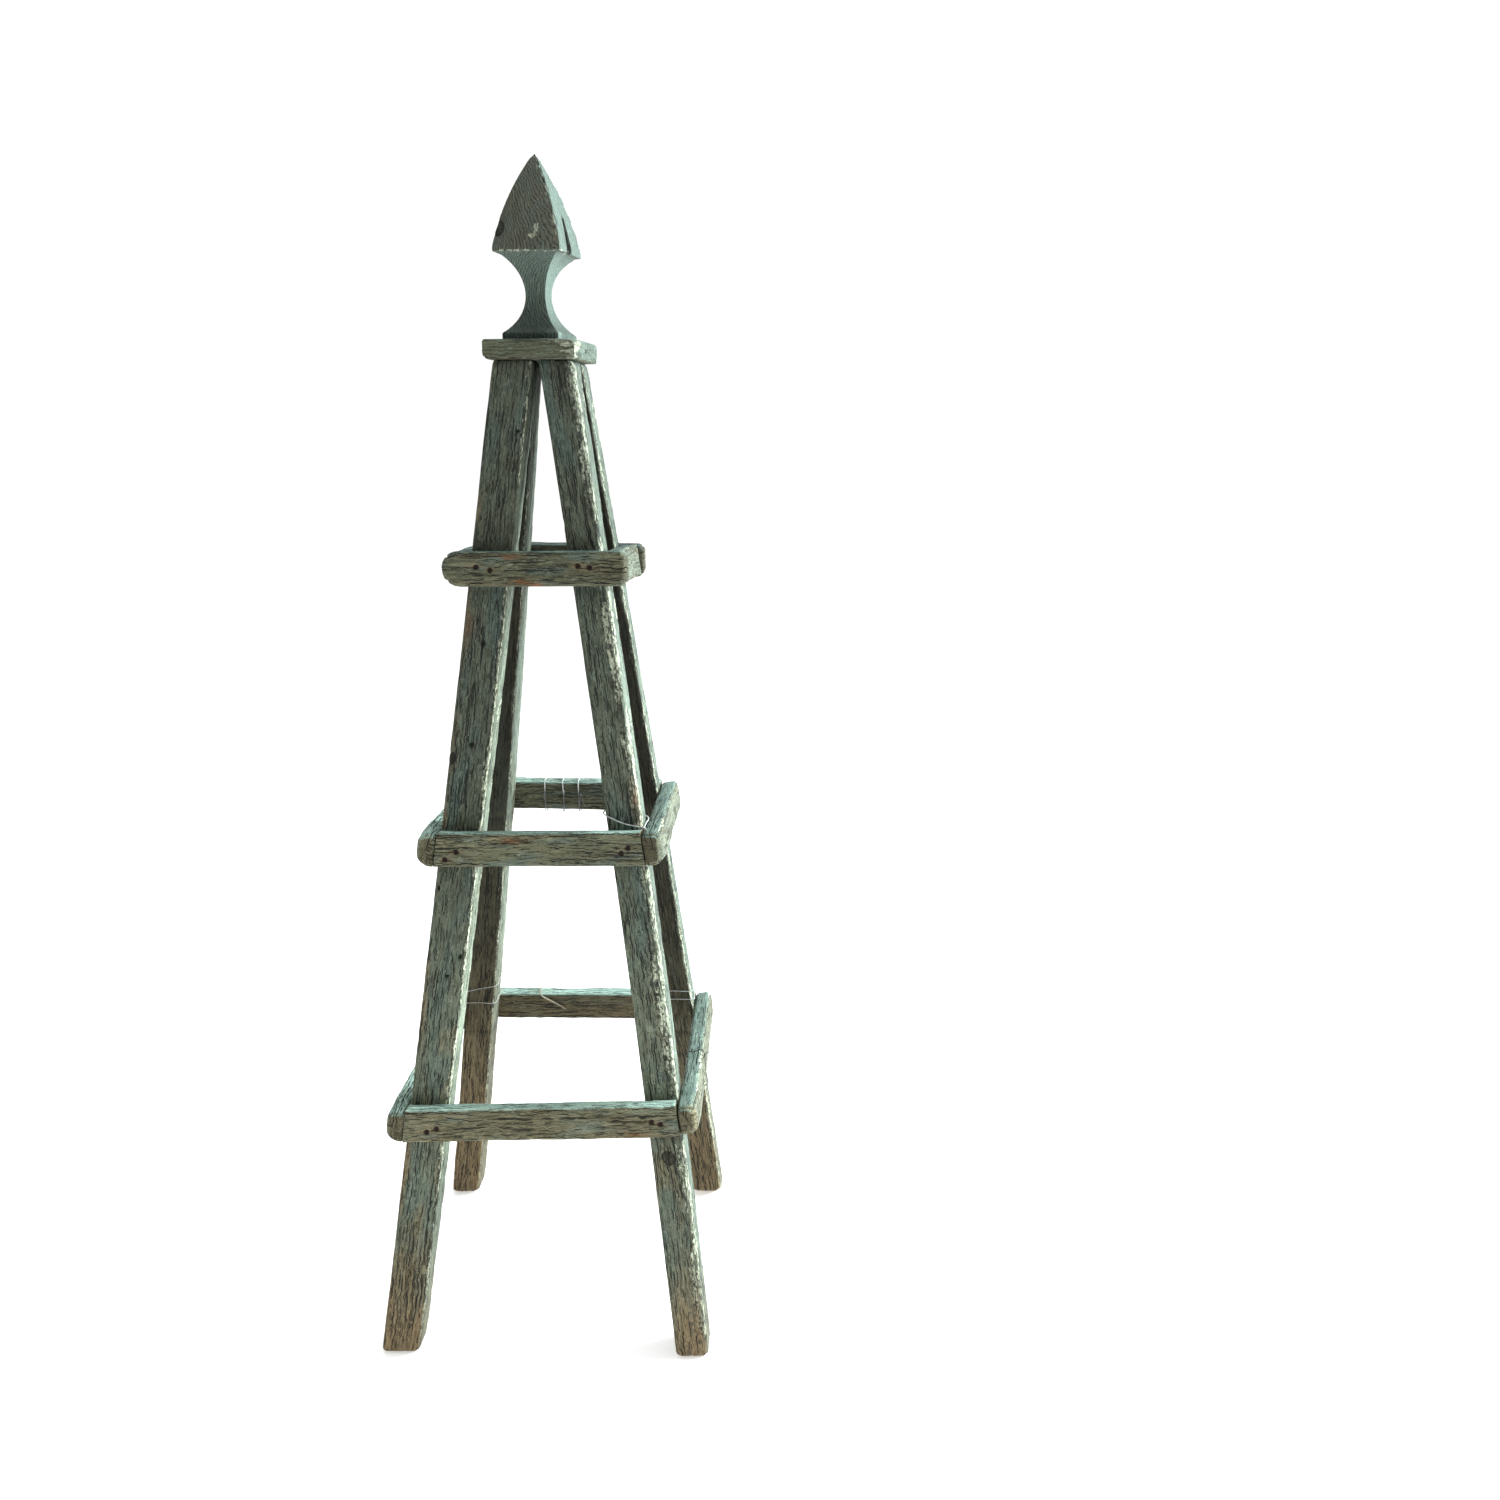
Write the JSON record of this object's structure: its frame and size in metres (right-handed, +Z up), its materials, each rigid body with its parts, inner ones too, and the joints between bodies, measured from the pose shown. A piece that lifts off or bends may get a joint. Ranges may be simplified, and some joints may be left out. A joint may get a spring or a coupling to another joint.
{
  "type": "garden obelisk",
  "caption": "Tall four-legged wooden obelisk for climbing plants, with rings of nailed rails, a square cap plate and a carved pointed finial.",
  "frame": {"origin": "middle of the footprint, on the ground under the four feet", "axes": "+Z up to the finial's point, -Y the front, +X the right-hand side seen from the front"},
  "size_m": [0.46, 0.46, 1.605],
  "materials": {
    "leg_wood": "weathered softwood, thin remains of grey-green paint, brown towards the feet",
    "rail_wood": "weathered softwood with patches of blue-green paint and rust stains",
    "cap_wood": "weathered grey-brown softwood",
    "finial_wood": "carved softwood with worn grey-green paint",
    "rusty_steel": "rusted wire nail",
    "tie_wire": "dull galvanised tie wire",
    "dark_wire": "blackened tie wire",
    "dry_stem": "dry pale plant stem"
  },
  "bodies": {
    "root": {"front_left_leg": "leg_wood", "front_right_leg": "leg_wood", "rear_right_leg": "leg_wood", "rear_left_leg": "leg_wood", "lower_front_rail": "rail_wood", "lower_right_rail": "rail_wood", "lower_rear_rail": "rail_wood", "lower_left_rail": "rail_wood", "middle_front_rail": "rail_wood", "middle_right_rail": "rail_wood", "middle_rear_rail": "rail_wood", "middle_left_rail": "rail_wood", "upper_front_rail": "rail_wood", "upper_right_rail": "rail_wood", "upper_rear_rail": "rail_wood", "upper_left_rail": "rail_wood", "cap_plate": "cap_wood", "finial": "finial_wood", "finial_pin": "rusty_steel", "cap_nails": "rusty_steel", "lower_ring_nails": "rusty_steel", "middle_ring_nails": "rusty_steel", "upper_ring_nails": "rusty_steel", "middle_rear_rail_ties": "tie_wire", "rear_left_leg_ties": "tie_wire", "rear_right_leg_ties": "tie_wire", "front_right_leg_tie": "tie_wire", "lower_right_rail_tie": "dark_wire", "lower_rear_rail_hook": "dry_stem"}
  },
  "joints": []
}
